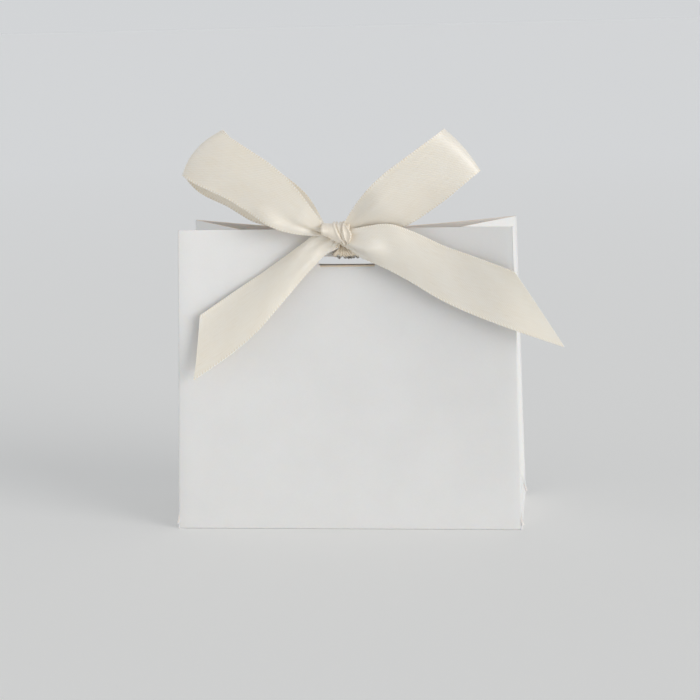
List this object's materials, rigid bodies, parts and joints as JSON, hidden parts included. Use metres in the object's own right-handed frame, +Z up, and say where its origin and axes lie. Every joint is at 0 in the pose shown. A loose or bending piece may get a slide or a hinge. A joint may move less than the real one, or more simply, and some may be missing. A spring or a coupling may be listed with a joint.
{
  "type": "paper gift bag",
  "caption": "Small white card gift bag with a flat base, folded side gussets and bowed panels, closed by a cream satin ribbon threaded through slots and tied in a bow.",
  "frame": {"origin": "centre of the underside of the base, on the surface that the bag stands on", "axes": "+X to the right as the bow is seen, +Y to the back panel, +Z up"},
  "size_m": [0.1343, 0.0502, 0.1386],
  "materials": {
    "card": "smooth matt white card",
    "satin": "cream woven satin"
  },
  "bodies": {
    "base": {"base_panel": "card", "base_inner_flap": "card", "base_dust_flap_left": "card", "base_dust_flap_right": "card"},
    "front": {"front_panel": "card", "ribbon_knot": "satin", "ribbon_band_front": "satin"},
    "back": {"back_panel": "card", "seam_tab": "card", "ribbon_band_rear": "satin"},
    "left_gusset": {"left_gusset": "card"},
    "right_gusset": {"right_gusset": "card"},
    "left_front_wing": {"left_gusset_front_wing": "card"},
    "left_rear_wing": {"left_gusset_rear_wing": "card"},
    "right_front_wing": {"right_gusset_front_wing": "card"},
    "right_rear_wing": {"right_gusset_rear_wing": "card"},
    "loop_left": {"ribbon_loop_left": "satin"},
    "loop_right": {"ribbon_loop_right": "satin"},
    "tail_left": {"ribbon_tail_left": "satin"},
    "tail_right": {"ribbon_tail_right": "satin"}
  },
  "joints": [
    {"name": "mouth_open", "type": "hinge", "parent": "base", "child": "front", "pos_m": [0, -0.025, 0], "axis": [1, 0, 0], "range_deg": [0, 4.41], "deforming": ["ribbon_band_front", "ribbon_band_rear"]},
    {"name": "back_fold", "type": "hinge", "parent": "base", "child": "back", "pos_m": [0, 0.025, 0], "axis": [1, 0, 0], "range_deg": [-4.42, 0]},
    {"name": "right_gusset_fold", "type": "hinge", "parent": "base", "child": "right_gusset", "pos_m": [0.06, 0, 0], "axis": [0, 1, 0], "range_deg": [0, 10.13]},
    {"name": "left_gusset_fold", "type": "hinge", "parent": "base", "child": "left_gusset", "pos_m": [-0.06, 0, 0], "axis": [0, 1, 0], "range_deg": [-10.13, 0]},
    {"name": "right_front_wing_fold", "type": "hinge", "parent": "front", "child": "right_front_wing", "pos_m": [0.06, -0.025, 0], "axis": [-0.024, 0.0769, 0.9967], "range_deg": [-46.9, 0]},
    {"name": "left_front_wing_fold", "type": "hinge", "parent": "front", "child": "left_front_wing", "pos_m": [-0.06, -0.025, 0], "axis": [0.024, 0.0769, 0.9967], "range_deg": [0, 46.9]},
    {"name": "right_rear_wing_fold", "type": "hinge", "parent": "back", "child": "right_rear_wing", "pos_m": [0.06, 0.025, 0], "axis": [-0.024, -0.0769, 0.9967], "range_deg": [0, 46.9]},
    {"name": "left_rear_wing_fold", "type": "hinge", "parent": "back", "child": "left_rear_wing", "pos_m": [-0.06, 0.025, 0], "axis": [0.024, -0.0769, 0.9967], "range_deg": [-46.9, 0]},
    {"name": "loop_left_flex", "type": "hinge", "parent": "front", "child": "loop_left", "pos_m": [-0.0035, -0.01378, 0.09998], "axis": [0, 1, 0], "range_deg": [-4, 14], "stiffness_Nm_per_rad": 0.004},
    {"name": "loop_right_flex", "type": "hinge", "parent": "front", "child": "loop_right", "pos_m": [-0.0035, -0.01378, 0.09998], "axis": [0, -1, 0], "range_deg": [-4, 14], "stiffness_Nm_per_rad": 0.004},
    {"name": "tail_left_lift", "type": "hinge", "parent": "front", "child": "tail_left", "pos_m": [-0.0035, -0.01378, 0.09998], "axis": [-1, 0, 0], "range_deg": [0, 50]},
    {"name": "tail_right_lift", "type": "hinge", "parent": "front", "child": "tail_right", "pos_m": [-0.0035, -0.01378, 0.09998], "axis": [-1, 0, 0], "range_deg": [0, 50]}
  ],
  "couplings": [
    {"joint": "back_fold", "follows": "mouth_open", "ratio": -1},
    {"joint": "right_gusset_fold", "follows": "mouth_open", "ratio": 2.2954},
    {"joint": "left_gusset_fold", "follows": "mouth_open", "ratio": -2.2954},
    {"joint": "right_front_wing_fold", "follows": "mouth_open", "ratio": -10.629},
    {"joint": "left_front_wing_fold", "follows": "mouth_open", "ratio": 10.629},
    {"joint": "right_rear_wing_fold", "follows": "mouth_open", "ratio": 10.629},
    {"joint": "left_rear_wing_fold", "follows": "mouth_open", "ratio": -10.629}
  ]
}
